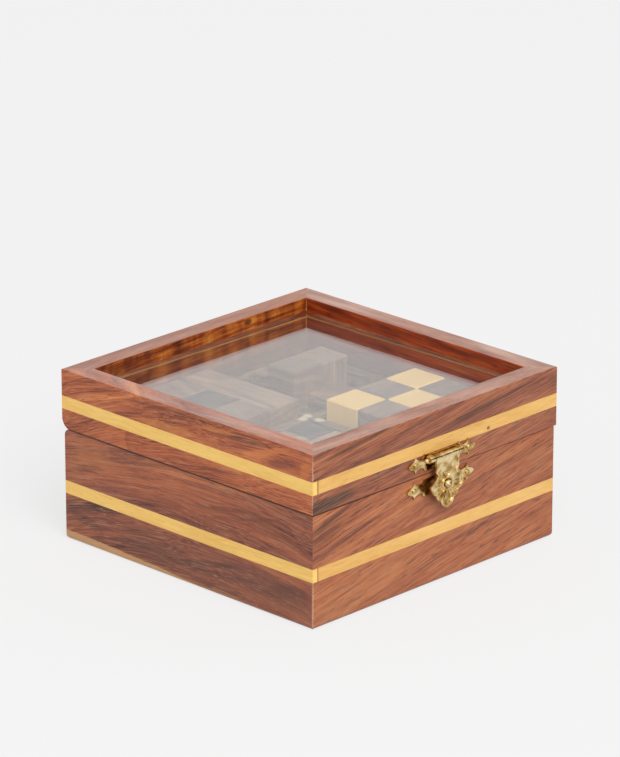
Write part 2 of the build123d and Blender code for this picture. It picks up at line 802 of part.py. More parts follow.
outer_half = flap_half(0, 0)
ground_half = flap_half(flap_border, -ground_drop)
with BuildSketch() as flap_outline:
    add(outer_half)
    mirror(about=Plane.YZ)
with BuildSketch() as flap_ground:
    add(ground_half)
    mirror(about=Plane.YZ)
    with Locations((0, -knob_drop)):
        Circle(knob_radius + knob_clearance + flap_border, mode=Mode.SUBTRACT)
    inner_width = emblem_width - 2 * math.sqrt(3) * emblem_line
    for width, mode in ((emblem_width, Mode.SUBTRACT), (inner_width, Mode.ADD)):
        with Locations((0, -emblem_drop - emblem_width / (2 * math.sqrt(3)))):
            RegularPolygon(width / math.sqrt(3), 3, rotation=-90, mode=mode)
    for lean in rib_leans:
        for way in (-lean, lean):
            with Locations((0, -knob_drop)):
                with PolarLocations(rib_distance, 1, start_angle=-90 + way):
                    Rectangle(rib_length, rib_width, mode=Mode.SUBTRACT)

flap_front = hasp_axis_y - hasp_knuckle_radius
with BuildPart() as hasp_flap:
    with BuildSketch(facing_front(flap_front + clasp_plate, hasp_axis_z)):
        add(flap_outline.sketch)
    extrude(amount=clasp_plate)
    with BuildSketch(facing_front(flap_front, hasp_axis_z)):
        add(flap_ground.sketch)
    extrude(amount=-flap_relief, mode=Mode.SUBTRACT)
    with BuildSketch(barrel_plane(0)):
        Circle(hasp_knuckle_radius)
    extrude(amount=flap_half_width, both=True)
    with BuildSketch(barrel_plane(0)):
        Circle(hasp_pin_radius + pin_clearance)
    extrude(amount=reach, both=True, mode=Mode.SUBTRACT)
    with BuildSketch(facing_front(flap_front + clasp_plate, knob_z)):
        Circle(knob_radius + knob_clearance)
    extrude(amount=2 * clasp_plate, mode=Mode.SUBTRACT)
save(hasp_flap, "hasp_flap")
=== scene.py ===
import bpy
import math

from mathutils import Matrix, Vector


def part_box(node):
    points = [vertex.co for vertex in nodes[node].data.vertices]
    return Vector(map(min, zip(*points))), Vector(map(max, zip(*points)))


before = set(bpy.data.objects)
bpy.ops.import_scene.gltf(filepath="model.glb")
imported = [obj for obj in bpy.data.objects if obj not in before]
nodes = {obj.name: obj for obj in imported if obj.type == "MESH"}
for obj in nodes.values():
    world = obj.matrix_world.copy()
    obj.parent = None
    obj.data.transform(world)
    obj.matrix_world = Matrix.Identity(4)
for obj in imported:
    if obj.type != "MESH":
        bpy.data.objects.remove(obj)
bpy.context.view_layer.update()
mm = 0.001
print("frame loaded:", len(nodes), "nodes")


# camera: far back with a long lens, so the box shows little perspective
cameraView = {
    "place": (-1457.6, -1420.3, 809.9),  # mm
    "turn": 45.75,                       # degrees from +Y towards +X
    "tilt": -19.904,                     # degrees, down
    "lens": 240.43,                      # mm
    "sensor": 36,                        # mm
    "clip": (0.05, 100),                 # metres
}
viewData = bpy.data.cameras.new("boxCamera")
viewData.lens = cameraView["lens"]
viewData.sensor_width = cameraView["sensor"]
viewData.clip_start, viewData.clip_end = cameraView["clip"]
viewCamera = bpy.data.objects.new("boxCamera", viewData)
viewCamera.location = Vector(cameraView["place"]) * mm
viewCamera.rotation_euler = (math.radians(90 + cameraView["tilt"]), 0, -math.radians(cameraView["turn"]))
bpy.context.scene.collection.objects.link(viewCamera)
bpy.context.scene.camera = viewCamera
bpy.context.scene.view_settings.view_transform = "Standard"


def linear(hexColour):
    # an sRGB hex colour as the linear values that nodes take
    parts = [int(hexColour[i:i + 2], 16) / 255 for i in (1, 3, 5)]
    return tuple(c / 12.92 if c <= 0.04045 else ((c + 0.055) / 1.055) ** 2.4 for c in parts) + (1.0,)


def addNode(tree, kind, settings=None, inputs=None, stops=()):
    # settings are the node's own properties; inputs are plain values or sockets to link; stops are a
    # colour ramp's, each a place from 0 to 1 and a hex colour
    node = tree.nodes.new(kind)
    for name, value in (settings or {}).items():
        setattr(node, name, value)
    for name, value in (inputs or {}).items():
        if isinstance(value, bpy.types.NodeSocket):
            tree.links.new(value, node.inputs[name])
        else:
            node.inputs[name].default_value = value
    if stops:
        elements = node.color_ramp.elements
        while len(elements) < len(stops):
            elements.new(1.0)
        for element, (place, shade) in zip(elements, stops):
            element.position = place
            element.color = linear(shade)
    return node


def addOn(tree, base, value, middle, gain):
    # base + (value - middle) * gain
    offset = addNode(tree, "ShaderNodeMath", {"operation": "SUBTRACT"}, {0: value, 1: middle}).outputs[0]
    return addNode(tree, "ShaderNodeMath", {"operation": "MULTIPLY_ADD"},
                   {0: offset, 1: gain, 2: base}).outputs[0]


def newMaterial(name):
    material = bpy.data.materials.new(name)
    material.use_nodes = True
    material.node_tree.nodes.clear()
    return material, material.node_tree


def clothe(nodeNames, material):
    for nodeName in nodeNames:
        slots = nodes[nodeName].data.materials
        slots.clear()
        slots.append(material)


# light and surroundings
studio = {
    "backdrop": "#f1f1f1",
    "skyLight": 0.52,          # strength of the world's light on the box
    "overhead": 0.24,          # how much brighter the sky looks overhead, in glass and gloss
    "overheadRise": (0.05, 0.3),         # heights of view, as a sine, where that starts and is full
    "keyStrength": 2.0,        # sun, from the clasp side and a little to the left
    "keyFrom": (-0.30, -0.66, 0.70),
    "keySoftness": 50,         # degrees
    "floorGlow": 0.80,         # share of the floor's shade that shadows can't darken
    "floorBounce": "#e4e4e2",
    "floorSize": 60.0,         # metres
    "floorDrop": 0.05,         # mm, so that the floor and the underside don't coincide
    "softboxPower": 8.0,       # watts
    "softboxSize": 0.8,        # metres
    "softboxPlace": (-0.75, -1.15, 1.05),
    "flagPlace": (0.85, -0.80, 0.0),     # metres, to the right of the clasp side
    "flagSpan": (1.1, 0.02, 0.55),       # width, foot and head
    "flagColour": "#14110f",
}


def seenDirectly(tree):
    # 1 for rays from the camera, from a gloss and through glass; 0 for rays that carry light
    paths = addNode(tree, "ShaderNodeLightPath")
    most = addNode(tree, "ShaderNodeMath", {"operation": "MAXIMUM"},
                   {0: paths.outputs["Is Camera Ray"], 1: paths.outputs["Is Glossy Ray"]})
    return addNode(tree, "ShaderNodeMath", {"operation": "MAXIMUM"},
                   {0: most.outputs[0], 1: paths.outputs["Is Transmission Ray"]}).outputs[0]


def lightStudio():
    world = bpy.data.worlds.new("paleStudio")
    bpy.context.scene.world = world
    world.use_nodes = True
    tree = world.node_tree
    tree.nodes.clear()
    lit = addNode(tree, "ShaderNodeBackground", None,
                  {"Color": (1, 1, 1, 1), "Strength": studio["skyLight"]})
    direction = addNode(tree, "ShaderNodeTexCoord").outputs["Generated"]
    height = addNode(tree, "ShaderNodeSeparateXYZ", None, {0: direction}).outputs["Z"]
    start, full = studio["overheadRise"]
    rise = addNode(tree, "ShaderNodeMapRange", {"interpolation_type": "SMOOTHSTEP"},
                   {"Value": height, "From Min": start, "From Max": full,
                    "To Max": studio["overhead"]}).outputs[0]
    straight = addNode(tree, "ShaderNodeLightPath").outputs["Is Camera Ray"]
    unseen = addNode(tree, "ShaderNodeMath", {"operation": "SUBTRACT"}, {0: 1.0, 1: straight}).outputs[0]
    strength = addOn(tree, 1.0, rise, 0.0, unseen)
    seen = addNode(tree, "ShaderNodeBackground", None,
                   {"Color": linear(studio["backdrop"]), "Strength": strength})
    both = addNode(tree, "ShaderNodeMixShader", None,
                   {0: seenDirectly(tree), 1: lit.outputs[0], 2: seen.outputs[0]})
    addNode(tree, "ShaderNodeOutputWorld", None, {"Surface": both.outputs[0]})

    sun = bpy.data.lights.new("keyLight", "SUN")
    sun.energy = studio["keyStrength"]
    sun.angle = math.radians(studio["keySoftness"])
    sunLamp = bpy.data.objects.new("keyLight", sun)
    sunLamp.rotation_euler = Vector(studio["keyFrom"]).to_track_quat("Z", "Y").to_euler()
    sunLamp.visible_glossy = False      # the softbox alone makes the highlights
    sunLamp.visible_transmission = False
    bpy.context.scene.collection.objects.link(sunLamp)

    box = bpy.data.lights.new("softbox", "AREA")
    box.energy = studio["softboxPower"]
    box.shape = "SQUARE"
    box.size = studio["softboxSize"]
    boxLamp = bpy.data.objects.new("softbox", box)
    boxLamp.location = studio["softboxPlace"]
    boxLamp.rotation_euler = Vector(studio["softboxPlace"]).to_track_quat("Z", "Y").to_euler()
    boxLamp.visible_transmission = False
    bpy.context.scene.collection.objects.link(boxLamp)


def layFloor():
    half = studio["floorSize"] / 2
    level = -studio["floorDrop"] * mm
    corners = [(-half, -half, level), (half, -half, level), (half, half, level), (-half, half, level)]
    mesh = bpy.data.meshes.new("floor")
    mesh.from_pydata(corners, [], [(0, 1, 2, 3)])
    floor = bpy.data.objects.new("floor", mesh)
    bpy.context.scene.collection.objects.link(floor)
    material, tree = newMaterial("seamless paper")  # matt, pale, no edge
    shade = linear(studio["backdrop"])
    glow = addNode(tree, "ShaderNodeEmission", None, {"Color": shade, "Strength": studio["floorGlow"]})
    faint = tuple(c * (1 - studio["floorGlow"]) for c in shade[:3]) + (1,)
    matt = addNode(tree, "ShaderNodeBsdfDiffuse", None, {"Color": faint})
    paper = addNode(tree, "ShaderNodeAddShader", None, {0: glow.outputs[0], 1: matt.outputs[0]})
    bounce = addNode(tree, "ShaderNodeBsdfDiffuse", None, {"Color": linear(studio["floorBounce"])})
    both = addNode(tree, "ShaderNodeMixShader", None,
                   {0: seenDirectly(tree), 1: bounce.outputs[0], 2: paper.outputs[0]})
    addNode(tree, "ShaderNodeOutputMaterial", None, {"Surface": both.outputs[0]})
    mesh.materials.append(material)


def hangFlag():
    # A black card, seen only in glossy things: it gives polished brass its dark side
    width, low, high = studio["flagSpan"]
    across = Vector(studio["flagPlace"]).normalized().cross(Vector((0, 0, 1))) * (width / 2)
    foot = Vector(studio["flagPlace"])
    corners = [foot - across + Vector((0, 0, low)), foot + across + Vector((0, 0, low)),
               foot + across + Vector((0, 0, high)), foot - across + Vector((0, 0, high))]
    mesh = bpy.data.meshes.new("blackFlag")
    mesh.from_pydata([tuple(c) for c in corners], [], [(0, 1, 2, 3)])
    flag = bpy.data.objects.new("blackFlag", mesh)
    bpy.context.scene.collection.objects.link(flag)
    material, tree = newMaterial("black felt")  # takes up all light
    felt = addNode(tree, "ShaderNodeBsdfDiffuse", None, {"Color": linear(studio["flagColour"])})
    addNode(tree, "ShaderNodeOutputMaterial", None, {"Surface": felt.outputs[0]})
    mesh.materials.append(material)
    for ray in ("camera", "diffuse", "transmission", "shadow", "volume_scatter"):
        setattr(flag, f"visible_{ray}", False)


lightStudio()
layFloor()
hangFlag()
print("studio lit")


# timber
def grainPattern(tree, vector, sizes, detail, roughness=0.55):
    # unevenness in the wood whose features are about this many millimetres long, wide and deep
    scaled = addNode(tree, "ShaderNodeMapping", None,
                     {"Vector": vector, "Scale": tuple(1 / size for size in sizes)}).outputs[0]
    return addNode(tree, "ShaderNodeTexNoise", None,
                   {"Vector": scaled, "Scale": 1.0, "Detail": detail, "Roughness": roughness}
                   ).outputs["Fac"]


def bowGrain(tree, laid, look):
    # grain that rises to a crest part of the way along the board and falls away to both ends
    crest, fall = look["bow"]  # mm along the board, and mm of fall at 1 mm from there
    length = addNode(tree, "ShaderNodeSeparateXYZ", None, {0: laid}).outputs["X"]
    past = addNode(tree, "ShaderNodeMath", {"operation": "SUBTRACT"},
                   {0: length, 1: look["seed"][0] + crest}).outputs[0]
    square = addNode(tree, "ShaderNodeMath", {"operation": "POWER"}, {0: past, 1: 2.0}).outputs[0]
    upright = addNode(tree, "ShaderNodeCombineXYZ", None, {"Z": square}).outputs[0]
    return addNode(tree, "ShaderNodeVectorMath", {"operation": "MULTIPLY_ADD"},
                   {0: upright, 1: (0, 0, fall), 2: laid}).outputs[0]


def growthLayers(tree, bent, look, pith):
    # place across the layers round the pith; a little of the length in the sum closes them into arches
    offset = addNode(tree, "ShaderNodeVectorMath", {"operation": "SUBTRACT"},
                     {0: bent, 1: pith}).outputs[0]
    arched = addNode(tree, "ShaderNodeVectorMath", {"operation": "MULTIPLY"},
                     {0: offset, 1: (look["arch"], 1, 1)}).outputs[0]
    away = addNode(tree, "ShaderNodeVectorMath", {"operation": "LENGTH"}, {0: arched}).outputs["Value"]
    length = addNode(tree, "ShaderNodeSeparateXYZ", None, {0: bent}).outputs["X"]
    return addNode(tree, "ShaderNodeCombineXYZ", None, {"X": away, "Y": length}).outputs[0]


def ringEdges(tree, layered, look):
    # each ring darkens slowly and ends at once: the last part of a sawtooth, on wandering layers
    away = addNode(tree, "ShaderNodeSeparateXYZ", None, {0: layered}).outputs["X"]
    swell = grainPattern(tree, layered, (3 * look["bandWidth"], look["bandLength"], 1),
                         detail=3.0, roughness=0.5)
    even = addNode(tree, "ShaderNodeMath", {"operation": "DIVIDE"},
                   {0: away, 1: look["ringWidth"]}).outputs[0]
    counted = addOn(tree, even, swell, 0.0, look["ringWander"])
    tooth = addNode(tree, "ShaderNodeMath", {"operation": "FRACT"}, {0: counted}).outputs[0]
    return addNode(tree, "ShaderNodeMath", {"operation": "POWER"}, {0: tooth, 1: look["ringEdge"]}).outputs[0]


def cellTones(tree, inMm, cells):
    # a piece glued up from cubes: each cube has its own shade, and the listed ones a shift on top of it
    low, size = cells["low"], cells["size"]
    place = addNode(tree, "ShaderNodeVectorMath", {"operation": "SUBTRACT"}, {0: inMm, 1: low}).outputs[0]
    counted = addNode(tree, "ShaderNodeVectorMath", {"operation": "SCALE"},
                      {0: place, "Scale": 1 / size}).outputs[0]
    index = addNode(tree, "ShaderNodeVectorMath", {"operation": "FLOOR"}, {0: counted}).outputs[0]
    random = addNode(tree, "ShaderNodeTexWhiteNoise", {"noise_dimensions": "3D"}, {"Vector": index})
    tone = addOn(tree, 0.0, random.outputs["Value"], 0.5, cells["spread"])
    for cell, shift in cells["known"].items():
        gap = addNode(tree, "ShaderNodeVectorMath", {"operation": "DISTANCE"},
                      {0: index, 1: cell}).outputs["Value"]
        here = addNode(tree, "ShaderNodeMath", {"operation": "LESS_THAN"}, {0: gap, 1: 0.5}).outputs[0]
        tone = addOn(tree, tone, here, 0.0, shift)
    return tone


plainMark = {
    "lean": 0,       # degrees
    "wander": 3.0,   # mm that its outline strays
    "fray": 1.3,     # how far it frays along the fibres
    "edge": 0.05,    # where its share of the colour starts
    "core": 0.5,     # and where it is full
}


def addMarks(tree, colour, look, inMm, drift, fibre):
    # marks that one board has: a streak of dark heartwood, a patch of orange, a band of sapwood
    for given in look.get("marks", ()):
        mark = {**plainMark, **given}
        wander = mark["wander"]
        nudged = addNode(tree, "ShaderNodeVectorMath", {"operation": "MULTIPLY_ADD"},
                         {0: drift, 1: (wander, wander, wander), 2: inMm}).outputs[0]
        centre = [c + wander / 2 for c in mark["at"]]
        lean = math.radians(mark["lean"])
        rotation = (lean, 0, 0) if look["along"] == "y" else (0, -lean, 0)
        inMark = addNode(tree, "ShaderNodeMapping", {"vector_type": "TEXTURE"},
                         {"Vector": nudged, "Location": centre, "Rotation": rotation,
                          "Scale": mark["half"]}).outputs[0]
        blob = addNode(tree, "ShaderNodeTexGradient", {"gradient_type": "SPHERICAL"},
                       {"Vector": inMark}).outputs["Fac"]
        ragged = addOn(tree, blob, fibre, 0.5, mark["fray"])
        share = addNode(tree, "ShaderNodeMapRange", {"interpolation_type": "SMOOTHSTEP"},
                        {"Value": ragged, "From Min": mark["edge"], "From Max": mark["core"],
                         "To Max": mark["share"]}).outputs[0]
        colour = addNode(tree, "ShaderNodeMix", {"data_type": "RGBA"},
                         {0: share, 6: colour, 7: linear(mark["colour"])}).outputs[2]
    return colour


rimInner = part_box("lid_front_board")[1][1] / -mm    # the lid's inner faces, out from the middle
innerEdge = (rimInner + 0.1, rimInner + 0.4)        # mm, where the inner finish ends


def innerMask(tree, inMm):
    # 1 on the faces that look into the box, 0 outside them
    apart = addNode(tree, "ShaderNodeVectorMath", {"operation": "ABSOLUTE"}, {0: inMm}).outputs[0]
    parts = addNode(tree, "ShaderNodeSeparateXYZ", None, {0: apart})
    outmost = addNode(tree, "ShaderNodeMath", {"operation": "MAXIMUM"},
                      {0: parts.outputs["X"], 1: parts.outputs["Y"]}).outputs[0]
    return addNode(tree, "ShaderNodeMapRange", None,
                   {"Value": outmost, "From Min": innerEdge[0], "From Max": innerEdge[1],
                    "To Min": 1.0, "To Max": 0.0}).outputs[0]


def addDustAndSheen(tree, colour, look, upward, bent):
    # dust on dulled polish, and painted sheen: the faces that look up are mixed, in patches, towards a pale
    # colour that stands in for the reflection of the bright sky
    patches = grainPattern(tree, bent, look["hazePatch"], detail=3.0)
    most = addOn(tree, look["haze"], patches, 0.5, look["hazeGain"] * look["haze"])
    start, full = look["hazeRise"]
    share = addNode(tree, "ShaderNodeMapRange", None,
                    {"Value": upward, "From Min": start, "From Max": full, "To Max": most}).outputs[0]
    return addNode(tree, "ShaderNodeMix", {"data_type": "RGBA"},
                   {0: share, 6: colour, 7: linear(look["hazeColour"])}).outputs[2]


def timber(name, look):
    # A planed board. Growth bands lie round a pith; fibres and pores run along the grain. All come
    # from the board's own place in millimetres, so they are the same size on every piece.
    material, tree = newMaterial(name)
    coordinates = addNode(tree, "ShaderNodeTexCoord")
    inMm = addNode(tree, "ShaderNodeVectorMath", {"operation": "SCALE"},
                   {0: coordinates.outputs["Object"], "Scale": 1 / mm}).outputs[0]
    along = {"x": Matrix.Identity(3), "y": Matrix.Rotation(math.radians(-90), 3, "Z"),
             "z": Matrix.Rotation(math.radians(90), 3, "Y")}[look["along"]]
    turn = Matrix.Rotation(math.radians(look["lean"]), 3, "Y") @ along
    laid = addNode(tree, "ShaderNodeMapping", None,
                   {"Vector": inMm, "Rotation": turn.to_euler("XYZ"), "Location": look["seed"]}).outputs[0]
    pith = turn @ Vector(look["pith"]) + Vector(look["seed"])
    if "bow" in look:
        laid = bowGrain(tree, laid, look)

    slow = addNode(tree, "ShaderNodeMapping", None,
                   {"Vector": laid, "Scale": (look["waveStretch"], 1, 1)}).outputs[0]
    drift = addNode(tree, "ShaderNodeTexNoise", None,
                    {"Vector": slow, "Scale": 1 / look["waveSize"], "Detail": 2.0}).outputs["Color"]
    swing = 2 * look["wave"]
    bent = addNode(tree, "ShaderNodeVectorMath", {"operation": "MULTIPLY_ADD"},
                   {0: drift, 1: (swing, swing, swing), 2: laid}).outputs[0]

    layered = growthLayers(tree, bent, look, pith)
    bands = grainPattern(tree, layered, (look["bandWidth"], look["bandLength"], 1),
                         detail=6.0, roughness=0.62)
    rings = ringEdges(tree, layered, look)
    figure = grainPattern(tree, bent, (look["figureLength"], look["figureWidth"], look["figureWidth"]),
                          detail=3.0)
    fibre = grainPattern(tree, bent, (look["fibreLength"], look["fibreWidth"], look["fibreWidth"]),
                         detail=3.0, roughness=0.7)
    pore = grainPattern(tree, bent, look["poreSize"], detail=1.0)

    tone = addOn(tree, look["level"], figure, 0.5, look["figure"])
    tone = addOn(tree, tone, bands, 0.5, look["bands"])
    tone = addOn(tree, tone, fibre, 0.5, look["fibre"])
    meanRing = 1 / (1 + look["ringEdge"])
    tone = addOn(tree, tone, rings, meanRing, -look["ringDark"])
    if "cells" in look:
        tone = addOn(tree, tone, cellTones(tree, inMm, look["cells"]), 0.0, 1.0)
    colour = addNode(tree, "ShaderNodeValToRGB", None, {"Fac": tone}, look["tones"]).outputs["Color"]
    if "inner" in look:
        inner = look["inner"]
        curl = grainPattern(tree, bent, inner["curlSize"], detail=3.0)
        innerTone = addOn(tree, tone, curl, 0.5, inner["curl"])
        innerColour = addNode(tree, "ShaderNodeValToRGB", None, {"Fac": innerTone},
                              inner["tones"]).outputs["Color"]
        colour = addNode(tree, "ShaderNodeMix", {"data_type": "RGBA"},
                         {0: innerMask(tree, inMm), 6: colour, 7: innerColour}).outputs[2]

    poreStart, poreFull = look["poreEdge"]
    poreShare = addNode(tree, "ShaderNodeMapRange", None,
                        {"Value": pore, "From Min": poreStart, "From Max": poreFull,
                         "To Max": look["pores"]}).outputs[0]
    poreColour = linear(look["tones"][0][1])
    colour = addNode(tree, "ShaderNodeMix", {"data_type": "RGBA"},
                     {0: poreShare, 6: colour, 7: poreColour}).outputs[2]
    colour = addMarks(tree, colour, look, inMm, drift, fibre)
    # painted sheen, with dust, on the faces that look up
    if "haze" in look:
        upward = addNode(tree, "ShaderNodeSeparateXYZ", None, {0: coordinates.outputs["Normal"]}).outputs["Z"]
        colour = addDustAndSheen(tree, colour, look, upward, bent)

    rough = addOn(tree, look["roughness"], fibre, 0.5, look["roughSpread"])
    relief = addOn(tree, fibre, pore, 0.5, -look["poreDepth"])
    bump = addNode(tree, "ShaderNodeBump", None,
                   {"Height": relief, "Strength": look["relief"],
                    "Distance": look["reliefDepth"] * mm}).outputs[0]
    body = addNode(tree, "ShaderNodeBsdfPrincipled", None,
                   {"Base Color": colour, "Roughness": rough, "Specular IOR Level": look["shine"],
                    "Normal": bump, "Coat Weight": look["coat"],
                    "Coat Roughness": look["coatRoughness"]}).outputs[0]
    addNode(tree, "ShaderNodeOutputMaterial", None, {"Surface": body})
    return material


# Sheesham, planed, sanded and lacquered: red-brown heartwood with dark streaks and a satin gloss.
# Tones run from the dark pores to the palest fibres.
redTones = [(0.05, "#471d15"), (0.28, "#823f24"), (0.50, "#a45531"), (0.72, "#bb683b"), (0.95, "#d68f4f")]
brownTones = [(0.05, "#401f18"), (0.28, "#753e2a"), (0.50, "#965435"), (0.72, "#b06a40"), (0.95, "#cd905c")]
plumTones = [(0.05, "#381c19"), (0.28, "#693a2b"), (0.50, "#8c4c35"), (0.72, "#a8603c"), (0.95, "#c78150")]
duskyTones = [(0.05, "#371d19"), (0.28, "#64382a"), (0.50, "#864a34"), (0.72, "#a05e3c"), (0.95, "#bf8052")]
# the lid's inner walls: golden with a strong curl at the back, a deeper red on the right
goldenInner = {
    "curlSize": (7, 30, 30), "curl": 1.3,
    "tones": [(0.10, "#3a1104"), (0.35, "#6c2806"), (0.55, "#93430f"), (0.75, "#b36321"), (0.95, "#d38b40")],
}
deepInner = {
    "curlSize": (30, 9, 9), "curl": 0.5,
    "tones": [(0.10, "#4a1507"), (0.35, "#7f2b0c"), (0.55, "#a23c12"), (0.75, "#b9571f"), (0.95, "#cc7c3c")],
}
# bare or only waxed, and dusty: greyer
greyTones = [(0.05, "#2c1f1c"), (0.28, "#543c34"), (0.50, "#795647"), (0.72, "#957059"), (0.95, "#b38f74")]
duskInner = {"curlSize": (7, 30, 30), "curl": 0.7, "tones": greyTones}
sheesham = {
    # lengths, widths and sizes are in mm
    "along": "x", "lean": 0,               # the grain's direction, and degrees off it
    "seed": (0, 0, 0),                     # which part of the timber this board is cut from
    "pith": (0, 40, -60), "arch": 0.08,    # middle of the growth layers, and how fast they close
    "tones": brownTones, "level": 0.5,     # level is the mean tone's place among the tones
    # the last value in each of these rows says how strongly it shows
    "waveSize": 42, "waveStretch": 0.35, "wave": 3.5,
    "bandWidth": 5.5, "bandLength": 130, "bands": 1.1,
    "ringWidth": 4.5, "ringWander": 4, "ringEdge": 3.0, "ringDark": 0.12,
    "figureLength": 110, "figureWidth": 8, "figure": 0.5,
    "fibreLength": 26, "fibreWidth": 0.45, "fibre": 1.6,
    "poreSize": (6, 0.55, 0.55), "poreEdge": (0.60, 0.70), "pores": 0.6,  # real ones are too fine to show
    # dust with a painted sheen on the faces that look up: the size of its patches, its pale colour, how much
    # the patches vary
    "hazePatch": (34, 6, 6), "hazeColour": "#ecc9b8", "hazeGain": 3.5,
    "hazeRise": (0.7, 1.0),                # height of a face's normal where the dust and painted sheen start and are full
    "roughness": 0.40, "roughSpread": 0.25, "shine": 0.3, "coatRoughness": 0.25, "coat": 0.08,
    "reliefDepth": 0.12, "poreDepth": 0.8, "relief": 0.2,
}
blackHeart, brownHeart, paleSap = "#221b15", "#3f2119", "#c4996a"
# a thin pale line along the lid's inner walls at the height of the glazing bead, and one down their back
# corner
paleLine = {"share": 0.8, "colour": "#cfa067", "edge": 0.0, "core": 0.5, "fray": 0.5, "wander": 0.4}
# the varnish on the lid's inner walls ends some way under the glass; below that they are greyer
bareWall = {"share": 0.6, "colour": "#5c463d", "edge": 0.0, "core": 0.35, "fray": 0.3, "wander": 0.5}
# the boards' upright edges at the front corner are worn pale
wornEdge = {"share": 0.4, "colour": "#dcb294", "edge": 0.0, "core": 0.6, "fray": 1.8, "wander": 0.0}
lidEdge = {**wornEdge, "at": (-75, -75, 66), "half": (0.7, 0.7, 16)}
baseEdge = {**wornEdge, "at": (-74.3, -74.3, 10), "half": (0.7, 0.7, 20)}
